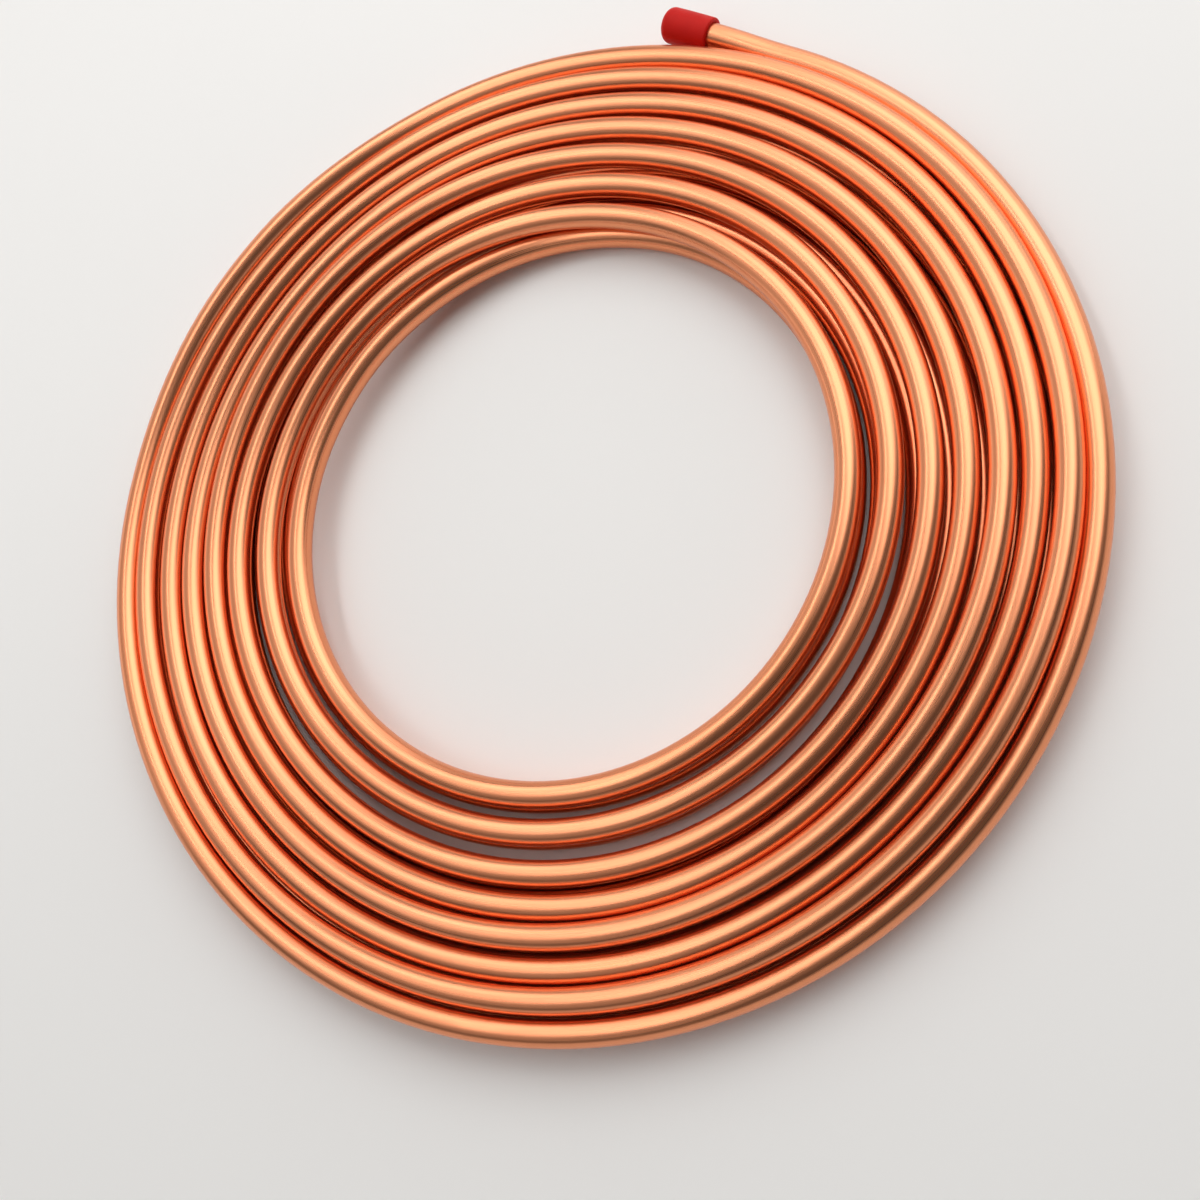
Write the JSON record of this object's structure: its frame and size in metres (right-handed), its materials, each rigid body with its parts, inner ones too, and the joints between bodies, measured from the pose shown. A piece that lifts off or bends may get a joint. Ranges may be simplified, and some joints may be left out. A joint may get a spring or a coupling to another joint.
{
  "type": "copper tube coil",
  "caption": "Coil of bright soft copper tube wound flat in two layers, lying on its side face, with a push-on plastic cap on each free end.",
  "frame": {"origin": "on the coil's axis, at the floor that it lies on", "axes": "+Z along the coil's axis, up from the floor; the layers turn over into each other about +Y, and both free ends point towards +Y"},
  "size_m": [0.3824, 0.3824, 0.0191],
  "materials": {
    "copper": "bright drawn",
    "cap_plastic": "smooth moulded"
  },
  "bodies": {
    "root": {"copper_tube": "copper", "end_cap_upper": "cap_plastic", "end_cap_lower": "cap_plastic"}
  },
  "joints": []
}
